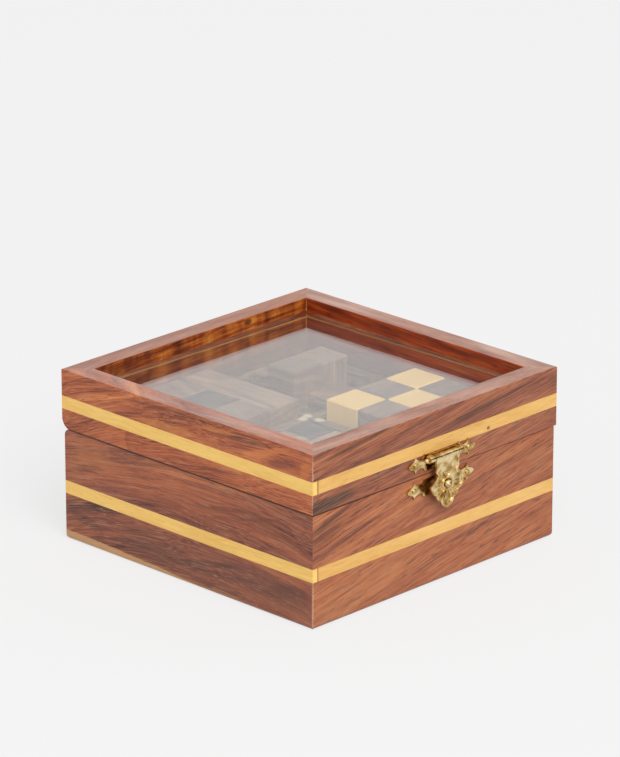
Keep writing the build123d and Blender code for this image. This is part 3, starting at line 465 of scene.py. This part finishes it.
# each board's own look; a mark's place and half sizes are in mm, its share is how much of its colour shows
# the lid boards' share of dust and painted sheen on their upward faces is set per board
boardLooks = {
    "base_front_board": {
        "lean": 12, "seed": (35, 0, 0), "level": 0.55, "bands": 0.7, "ringDark": 0.09, "fibre": 1.45,
        "marks": [
            {"at": (-54, -75, 36), "half": (27, 8, 1.2), "lean": 13, "share": 0.6, "colour": brownHeart},
            {"at": (-62, -75, 47), "half": (21, 8, 1.6), "lean": 17, "share": 0.6, "colour": blackHeart},
            {"at": (-66, -75, 40), "half": (14, 8, 4.0), "lean": 15, "share": 0.35, "colour": brownHeart},
            {"at": (22, -75, 17.0), "half": (22, 8, 1.4), "lean": 6, "share": 0.5, "colour": brownHeart},
            {"at": (28, -75, 40), "half": (26, 8, 1.0), "lean": 8, "share": 0.4, "colour": brownHeart},
            {"at": (-50, -75, 8), "half": (60, 8, 9), "lean": 12, "share": 0.2, "colour": "#c98a58"},
            {"at": (-54, -75, 11.5), "half": (26, 8, 0.7), "lean": 13, "share": 0.35, "colour": brownHeart},
            {"at": (-20, -75, 3), "half": (22, 8, 0.7), "lean": 14, "share": 0.4, "colour": brownHeart},
            baseEdge,
        ]},
    "base_left_board": {
        "along": "y", "seed": (140, 20, 30), "tones": plumTones, "pith": (-62, 5, -6), "arch": 0.12,
        "wave": 5, "waveStretch": 0.6, "bow": (-15, 0.0015), "bandWidth": 6, "bands": 1.2,
        "ringDark": 0.18, "figure": 0.75, "figureWidth": 11, "fibre": 1.2, "pores": 0.4,
        "marks": [
            {"at": (-75, -22, 40), "half": (8, 30, 1.3), "lean": -9, "share": 0.5, "colour": blackHeart},
            {"at": (-75, -44, 41), "half": (8, 22, 1.1), "lean": -16, "share": 0.5, "colour": brownHeart},
            {"at": (-75, -30, 36), "half": (8, 34, 7), "lean": -10, "share": 0.3, "colour": brownHeart},
            {"at": (-75, 57, 42), "half": (8, 17, 7), "share": 0.3, "colour": "#b8713f"},
            {"at": (-75, 32, 46), "half": (8, 20, 0.9), "lean": -11, "share": 0.5, "colour": brownHeart},
            {"at": (-75, 24, 41.8), "half": (8, 14, 0.8), "lean": -10, "share": 0.5, "colour": brownHeart},
            {"at": (-75, 60, 36.7), "half": (8, 11, 2.2), "lean": -14, "share": 0.4, "colour": brownHeart},
            {"at": (-75, 44, 31), "half": (8, 26, 2.6), "lean": -8, "share": 0.4, "colour": "#65302e"},
            {"at": (-75, -10, 38), "half": (9, 80, 13), "share": 0.25, "colour": "#a8532f", "fray": 2.0},
            {"at": (-75, -20, 10), "half": (9, 75, 11), "share": 0.35, "colour": "#5e3a30", "fray": 1.2},
            {"at": (-75, -50, 12), "half": (9, 40, 9), "lean": 6, "share": 0.4, "colour": "#4b2a28",
             "fray": 1.2},
            {"at": (-75, -14, 13), "half": (8, 26, 1.8), "lean": -10, "share": 0.45, "colour": blackHeart},
            {"at": (-75, -62, 14), "half": (8, 16, 4.0), "lean": -8, "share": 0.4, "colour": brownHeart},
            {"at": (-75, 62, 12), "half": (8, 14, 3.0), "lean": 12, "share": 0.4, "colour": brownHeart},
            {"at": (-74, 10, 1), "half": (9, 80, 3.2), "lean": 1, "share": 0.35, "colour": "#b87c4c"},
            {"at": (-74, 46, 0), "half": (9, 82, 4.2), "lean": 2, "share": 0.7, "colour": paleSap,
             "edge": 0.02, "core": 0.16, "fray": 0.35, "wander": 1.5},
            baseEdge,
        ]},
    "base_right_board": {"along": "y", "lean": -3, "seed": (310, 50, 10), "inner": duskInner},
    "base_back_board": {"lean": 3, "seed": (520, 70, 60), "inner": duskInner},
    "lid_front_board": {
        "lean": 8, "seed": (700, 15, 90), "tones": duskyTones, "level": 0.56, "haze": 0.20,
        "marks": [
            {"at": (-70, -75, 54.2), "half": (30, 8, 3.6), "lean": 4, "share": 0.8, "colour": blackHeart},
            {"at": (-48, -75, 75.6), "half": (27, 8, 1.2), "lean": 7, "share": 0.7, "colour": blackHeart},
            {"at": (-14, -75, 75.0), "half": (17, 8, 0.9), "lean": 10, "share": 0.6, "colour": brownHeart},
            {"at": (-30, -75, 58.8), "half": (20, 8, 1.0), "lean": 6, "share": 0.4, "colour": brownHeart},
            {"at": (45, -75, 74), "half": (30, 8, 1.0), "lean": 8, "share": 0.5, "colour": brownHeart},
            {"at": (20, -75, 71), "half": (24, 8, 2.4), "lean": 8, "share": 0.3, "colour": blackHeart},
            lidEdge,
        ]},
    "lid_left_board": {
        "along": "y", "lean": -5, "seed": (860, 35, 120), "tones": redTones, "level": 0.54,
        "pith": (-64, -36, 71), "arch": 0.13, "wave": 5, "waveStretch": 0.6, "bow": (-30, 0.0012),
        "bandWidth": 5, "bands": 1.5, "ringDark": 0.2, "fibre": 1.35, "pores": 0.45,
        "haze": 0.17, "hazeColour": "#cfc6c0",
        "marks": [
            {"at": (-75, -20, 74.8), "half": (8, 14, 1.6), "lean": -5, "share": 0.5, "colour": "#d07c3c"},
            {"at": (-75, -34, 74.2), "half": (8, 18, 1.4), "lean": -3, "share": 0.6, "colour": "#46302a"},
            {"at": (-75, -31, 70.4), "half": (8, 18, 2.4), "lean": -8, "share": 0.4, "colour": "#74352f"},
            {"at": (-75, -46, 71.5), "half": (8, 20, 2.4), "lean": -20, "share": 0.5, "colour": "#cf7a40"},
            {"at": (-75, -57, 69.5), "half": (8, 12, 2.8), "lean": -14, "share": 0.5, "colour": "#582a25"},
            {"at": (-75, -71, 71), "half": (8, 7, 4), "lean": -50, "share": 0.4, "colour": "#d07c40"},
            {"at": (-75, 12, 68), "half": (8, 26, 2.6), "lean": -3, "share": 0.4, "colour": "#c98040"},
            {"at": (-75, 16, 75.5), "half": (8, 24, 1.0), "lean": -3, "share": 0.5, "colour": brownHeart},
            {"at": (-75, -20, 56.6), "half": (8, 18, 1.0), "lean": -6, "share": 0.4, "colour": brownHeart},
            lidEdge,
        ]},
    "lid_right_board": {
        "along": "y", "lean": 2, "seed": (990, 85, 150), "tones": duskyTones, "inner": deepInner,
        "haze": 0.26,
        "marks": [
            {**bareWall, "at": (65, 0, 53.5), "half": (3, 400, 7)},
            {**paleLine, "at": (65, 0, 68.2), "half": (1.2, 400, 0.5), "lean": -0.4},
            {"at": (65, 50, 76), "half": (4, 14, 1.6), "share": 0.5, "colour": "#3c0f06"},
            {"at": (65, -30, 75), "half": (4, 26, 1.4), "lean": -3, "share": 0.45, "colour": "#45120a"},
        ]},
    "lid_back_board": {
        "lean": 2, "seed": (1130, 105, 180), "inner": goldenInner, "haze": 0.12,
        "marks": [
            {"at": (28, 65, 75.6), "half": (3.0, 4, 1.8), "share": 0.8, "colour": "#42170a", "wander": 1.0},
            {"at": (-12, 65, 73), "half": (7, 4, 3), "share": 0.6, "colour": "#4a1a08"},
            {"at": (4, 65, 71.6), "half": (12, 4, 1.4), "share": 0.5, "colour": "#4a1a08"},
            {"at": (-44, 65, 73), "half": (18, 4, 5), "share": 0.5, "colour": "#5a2008"},
            {**bareWall, "at": (0, 65, 53.5), "half": (400, 3, 7)},
            {**paleLine, "at": (0, 65, 68.1), "half": (400, 1.2, 0.5), "lean": -0.4},
            {**paleLine, "at": (64.9, 65, 68), "half": (0.7, 1.2, 12), "share": 0.5},
        ]},
}
# painted shade: a dark line along the outer edge of the joint between lid and base stands in for the shadow
# in the gap;
# on the clasp's side it fades out towards the right
paintedSeamShade = {"share": 0.9, "colour": "#43120a", "edge": 0.0, "core": 0.5, "fray": 0.2, "wander": 0.0}
seams = {
    "front": {**paintedSeamShade, "at": (-65, -74.8, 51), "half": (120, 1.3, 0.75)},
    "back": {**paintedSeamShade, "at": (0, 74.8, 51), "half": (400, 1.3, 0.75)},
    "left": {**paintedSeamShade, "at": (-74.8, 0, 51), "half": (1.3, 400, 0.75)},
    "right": {**paintedSeamShade, "at": (74.8, 0, 51), "half": (1.3, 400, 0.75)},
}
for nodeName, changes in boardLooks.items():
    label = nodeName.replace("_board", "").replace("_", " ")
    # each board also gets the painted seam shade of its side
    marks = [*changes.get("marks", ()), seams[label.split()[1]]]
    clothe([nodeName], timber(f"lacquered sheesham {label}", {**sheesham, **changes, "marks": marks}))
print("boards finished")

# Haldu, a fine yellow wood, inlaid and sanded flush: even golden colour with faint fibres.
haldu = {
    **sheesham, "pith": (0, 200, 90), "wave": 2, "waveSize": 30, "bandWidth": 5, "bands": 0.5,
    "ringDark": 0.08, "figureLength": 40, "figureWidth": 6, "fibreLength": 8, "fibre": 0.8, "pores": 0.2,
    "tones": [(0.05, "#c6903f"), (0.35, "#dfb05a"), (0.60, "#ebc06b"), (0.95, "#f6d286")],
    "roughness": 0.42, "relief": 0.1,
}
# the strips on the clasp's side have darkened a little more
darkHaldu = [(0.05, "#b8823a"), (0.35, "#ce9e55"), (0.60, "#daad65"), (0.95, "#e6be7e")]
# a thin dark glue line stands at the corner, where the front strip meets the end of the left one
glueLine = {"half": (0.5, 2.0, 20), "share": 0.75, "colour": "#6f4520", "wander": 0.0, "fray": 0.3}
cornerLines = [{**glueLine, "at": (-72, -75, 63)}, {**glueLine, "at": (-71.3, -75, 24)}]
pinKnot = {"at": (31.6, -75, 61.6), "half": (1.3, 4, 1.1), "share": 0.8, "colour": "#6a3d20",
           "wander": 0.0, "fray": 0.2}
sides = {
    "front": {"along": "x", "seed": (40, 5, 9), "tones": darkHaldu, "marks": [pinKnot, *cornerLines]},
    "back": {"along": "x", "seed": (130, 5, 9)},
    "left": {"along": "y", "seed": (220, 5, 9), "marks": cornerLines},
    "right": {"along": "y", "seed": (310, 5, 9)},
}
for side, changes in sides.items():
    clothe([f"base_{side}_stripe", f"lid_{side}_stripe"],
           timber(f"inlaid haldu {side}", {**haldu, **changes}))

# the fine hardwood beads on the glass are stained and varnished as dark as the walls they lie on
beadTones = [(0.10, "#34140a"), (0.40, "#642c12"), (0.65, "#84441c"), (0.95, "#ac6c38")]
for number, (side, changes) in enumerate(sides.items()):
    look = {**sheesham, "figureLength": 9, "along": changes["along"], "seed": (1300 + 90 * number, 3, 7),
            "tones": beadTones}
    clothe([f"{side}_glazing_bead"], timber(f"stained hardwood bead {side}", look))

# torn fibres where the dividers are lapped at the middle, and a painted highlight: they are painted pale
# where light catches them
tornFibresHighlight = {"half": (3.2, 3.2, 1.6), "share": 0.8, "colour": "#d9c3a0", "fray": 1.6, "wander": 2.0}
lapFibresAndHighlights = [{**tornFibresHighlight, "at": place} for place in ((-3.4, 0.6, 54), (0.6, 1.6, 54), (0.8, -5.6, 54))]
dividerLook = {**sheesham, "seed": (1700, 20, 12), "coat": 0.03, "roughness": 0.5, "marks": lapFibresAndHighlights,
               "tones": greyTones}
floorLook = {**dividerLook, "seed": (1900, 5, 33), "roughness": 0.6, "marks": ()}
clothe(["long_divider"], timber("waxed sheesham long divider", dividerLook))
clothe(["cross_divider"], timber("waxed sheesham cross divider", {**dividerLook, "along": "y"}))
clothe(["floor_panel"], timber("sanded sheesham floor", floorLook))


# puzzles: sheesham and haldu again, waxed, which gives a softer sheen than the box's lacquer
def cubeCells(nodeNames, spread, known):
    # the lowest corner and the cube's edge of a three by three by three puzzle, in millimetres, with a
    # little slack so that its outer faces still belong to the outer cubes
    slack = 0.02
    boxes = [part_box(nodeName) for nodeName in nodeNames]
    low = [min(box[0][axis] for box in boxes) / mm - slack for axis in range(3)]
    high = max(box[1][0] for box in boxes) / mm + slack
    return {"low": low, "size": (high - low[0]) / 3, "spread": spread, "known": known}


puzzleLook = {
    **sheesham, "tones": greyTones, "wave": 3, "waveSize": 20, "bandWidth": 4, "bands": 1.0,
    "figureLength": 24, "figureWidth": 5, "pores": 0.15, "roughness": 0.45, "shine": 0.55, "coat": 0.03,
}
boxCube = [n for n in nodes if n.endswith(("three_piece", "four_piece")) and not n.startswith("flat_")]
flatCube = [n for n in nodes if n.startswith("flat_") and n.endswith("_piece")]
burr = [n for n in nodes if "_burr_" in n]
# which cubes of the upper layer are darker or paler than the rest
boxCells = cubeCells(boxCube, 0.15, {(1, 1, 2): -0.48, (1, 0, 2): -0.1, (2, 0, 2): 0.02})
flatCells = cubeCells(flatCube, 0.15, {(2, 2, 2): -0.35, (1, 2, 2): 0.2, (2, 1, 2): 0.2, (1, 1, 2): 0.1})
for group, level, cells in ((boxCube, 0.50, boxCells), (flatCube, 0.52, flatCells), (burr, 0.56, None)):
    for count, nodeName in enumerate(sorted(group)):
        # every piece is cut from another place in the timber
        look = {**puzzleLook, "along": "xyz"[count % 3], "seed": (2100 + 137 * count, 11 * count, 7 * count),
                "level": level}
        if cells:
            look["cells"] = cells
        clothe([nodeName], timber("waxed sheesham " + nodeName.replace("_", " "), look))

snakeCells = cubeCells(["pale_snake_cubes", "dark_snake_cubes"], 0.3, {})
darkSnake = {**puzzleLook, "seed": (60, 8, 3), "level": 0.34, "cells": snakeCells}
paleSnake = {
    **haldu, "seed": (260, 8, 3), "cells": snakeCells,
    "tones": [(0.05, "#c4924a"), (0.35, "#daa95c"), (0.60, "#e6b86b"), (0.95, "#f0ca82")],
}
clothe(["dark_snake_cubes"], timber("waxed sheesham snake", darkSnake))
clothe(["pale_snake_cubes"], timber("waxed haldu snake", paleSnake))
print("puzzles finished")


# glass
glassLook = {
    "tint": "#f4f7f5",
    "ior": 1.5,
    "dust": 0.008,            # share of the surface that dust covers
    "dustColour": "#e8edf0",
}


def paneGlass():
    # Float glass, 2 mm: clear and flat, with a thin film of dust; lets the lamps through to what is under it
    material, tree = newMaterial("float glass")
    clear = addNode(tree, "ShaderNodeBsdfPrincipled", None,
                    {"Base Color": linear(glassLook["tint"]), "Roughness": 0.0, "IOR": glassLook["ior"],
                     "Transmission Weight": 1.0})
    unshaded = addNode(tree, "ShaderNodeBsdfTransparent", None, {"Color": linear(glassLook["tint"])})
    paths = addNode(tree, "ShaderNodeLightPath")
    film = addNode(tree, "ShaderNodeBsdfDiffuse", None, {"Color": linear(glassLook["dustColour"])})
    hazy = addNode(tree, "ShaderNodeMixShader", None,
                   {0: glassLook["dust"], 1: clear.outputs[0], 2: film.outputs[0]})
    both = addNode(tree, "ShaderNodeMixShader", None,
                   {0: paths.outputs["Is Shadow Ray"], 1: hazy.outputs[0], 2: unshaded.outputs[0]})
    addNode(tree, "ShaderNodeOutputMaterial", None, {"Surface": both.outputs[0]})
    return material


clothe(["glass_pane"], paneGlass())


# brass and elastic
def addFlutes(tree, spot, flutes, bump):
    # fine grooves pressed in a fan round the knob, on the broad part of the flap
    x, z = flutes["centre"]
    inner, outer = flutes["inner"], flutes["outer"]
    place = addNode(tree, "ShaderNodeVectorMath", {"operation": "SUBTRACT"},
                    {0: spot, 1: (x * mm, 0, z * mm)}).outputs[0]
    parts = addNode(tree, "ShaderNodeSeparateXYZ", None, {0: place})
    flat = addNode(tree, "ShaderNodeCombineXYZ", None,
                   {"X": parts.outputs["X"], "Y": parts.outputs["Z"]}).outputs[0]
    away = addNode(tree, "ShaderNodeVectorMath", {"operation": "LENGTH"}, {0: flat}).outputs["Value"]
    angle = addNode(tree, "ShaderNodeMath", {"operation": "ARCTAN2"},
                    {0: parts.outputs["Z"], 1: parts.outputs["X"]}).outputs[0]
    wave = addNode(tree, "ShaderNodeMath", {"operation": "MULTIPLY"},
                   {0: angle, 1: flutes["count"]}).outputs[0]
    groove = addNode(tree, "ShaderNodeMath", {"operation": "COSINE"}, {0: wave}).outputs[0]
    reach = addNode(tree, "ShaderNodeMapRange", {"interpolation_type": "SMOOTHSTEP"},
                    {"Value": away, "From Min": inner * mm,
                     "From Max": (inner + flutes["rise"]) * mm}).outputs[0]
    fade = addNode(tree, "ShaderNodeMapRange", {"interpolation_type": "SMOOTHSTEP"},
                   {"Value": away, "From Min": outer * mm, "From Max": (outer + flutes["fall"]) * mm,
                    "To Min": 1.0, "To Max": 0.0}).outputs[0]
    within = addNode(tree, "ShaderNodeMath", {"operation": "MULTIPLY"}, {0: reach, 1: fade}).outputs[0]
    height = addNode(tree, "ShaderNodeMath", {"operation": "MULTIPLY"}, {0: groove, 1: within}).outputs[0]
    return addNode(tree, "ShaderNodeBump", None,
                   {"Height": height, "Strength": flutes["relief"], "Distance": flutes["depth"] * mm,
                    "Normal": bump}).outputs[0]


def brass(name, look):
    # Pressed sheet brass: warm yellow metal, brighter where it is polished, slightly dimpled
    material, tree = newMaterial(name)
    spot = addNode(tree, "ShaderNodeTexCoord").outputs["Object"]
    dimples = addNode(tree, "ShaderNodeTexNoise", None,
                      {"Vector": spot, "Scale": 1 / (look["dimple"] * mm), "Detail": 2.0}).outputs["Fac"]
    patch = addNode(tree, "ShaderNodeTexNoise", None,
                    {"Vector": spot, "Scale": 1 / (look["patch"] * mm), "Detail": 3.0}).outputs["Fac"]
    colour = addNode(tree, "ShaderNodeValToRGB", None, {"Fac": patch}, look["tones"]).outputs["Color"]
    start, full = look["patchEdge"]
    rough = addNode(tree, "ShaderNodeMapRange", None,
                    {"Value": patch, "From Min": start, "From Max": full,
                     "To Min": look["roughness"][0], "To Max": look["roughness"][1]}).outputs[0]
    bump = addNode(tree, "ShaderNodeBump", None,
                   {"Height": dimples, "Strength": look["relief"],
                    "Distance": look["dimpleDepth"] * mm}).outputs[0]
    if "flutes" in look:
        bump = addFlutes(tree, spot, look["flutes"], bump)
    body = addNode(tree, "ShaderNodeBsdfPrincipled", None,
                   {"Base Color": colour, "Metallic": 1.0, "Roughness": rough, "Normal": bump,
                    "Coat Weight": look["lacquer"], "Coat Roughness": look["lacquerRoughness"]}).outputs[0]
    addNode(tree, "ShaderNodeOutputMaterial", None, {"Surface": body})
    return material


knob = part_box("catch_knob")
knobCentre = [(knob[0][axis] + knob[1][axis]) / 2 / mm for axis in (0, 2)]
claspLook = {
    "dimple": 2.4, "dimpleDepth": 0.3, "patch": 3.4,                 # mm
    "relief": 0.6, "patchEdge": (0.35, 0.65), "roughness": (0.12, 0.26),
    "lacquer": 0.3, "lacquerRoughness": 0.12,
    "tones": [(0.34, "#8f6a2a"), (0.50, "#cdaa68"), (0.66, "#ecd6aa")],
}
flapFlutes = {
    "centre": knobCentre, "inner": 3.5, "rise": 1.5, "outer": 7.5, "fall": 2.0, "depth": 0.1,   # mm
    "count": 30, "relief": 0.55,
}
# rolled brass, brushed: flatter and duller than the clasp
hingeLook = {
    "dimple": 1.5, "dimpleDepth": 0.3, "patch": 6.0,                 # mm
    "relief": 0.15, "patchEdge": (0.35, 0.65), "roughness": (0.28, 0.42),
    "lacquer": 0.1, "lacquerRoughness": 0.12,
    "tones": [(0.30, "#a98a52"), (0.60, "#c4a66c"), (0.85, "#d8c08c")],
}
clothe(["hasp_plate", "catch_plate", "hasp_pin", "catch_knob", "hasp_nails", "catch_nails"],
       brass("polished pressed brass", claspLook))
clothe(["hasp_flap"], brass("fluted pressed brass", {**claspLook, "flutes": flapFlutes}))
clothe([n for n in nodes if "hinge" in n], brass("brushed rolled brass", hingeLook))

elasticLook = {
    "thread": 0.5,            # mm between the braid's threads
    "threadDepth": 0.1,       # mm
    "tones": [(0.2, "#141312"), (0.8, "#34312e")],
    "relief": 0.6, "roughness": 0.85,
}
wavePeriod = 0.314            # length of one band of a wave texture at scale 1


def wovenElastic():
    # Covered elastic cord: a matt black braid
    material, tree = newMaterial("braided elastic")
    spot = addNode(tree, "ShaderNodeTexCoord").outputs["Object"]
    braid = addNode(tree, "ShaderNodeTexWave", {"bands_direction": "DIAGONAL"},
                    {"Vector": spot, "Scale": wavePeriod / (elasticLook["thread"] * mm)}).outputs["Fac"]
    colour = addNode(tree, "ShaderNodeValToRGB", None, {"Fac": braid}, elasticLook["tones"]).outputs["Color"]
    bump = addNode(tree, "ShaderNodeBump", None,
                   {"Height": braid, "Strength": elasticLook["relief"],
                    "Distance": elasticLook["threadDepth"] * mm}).outputs[0]
    body = addNode(tree, "ShaderNodeBsdfPrincipled", None,
                   {"Base Color": colour, "Roughness": elasticLook["roughness"], "Normal": bump}).outputs[0]
    addNode(tree, "ShaderNodeOutputMaterial", None, {"Surface": body})
    return material


clothe(["snake_elastic"], wovenElastic())
print("glass and metal finished")
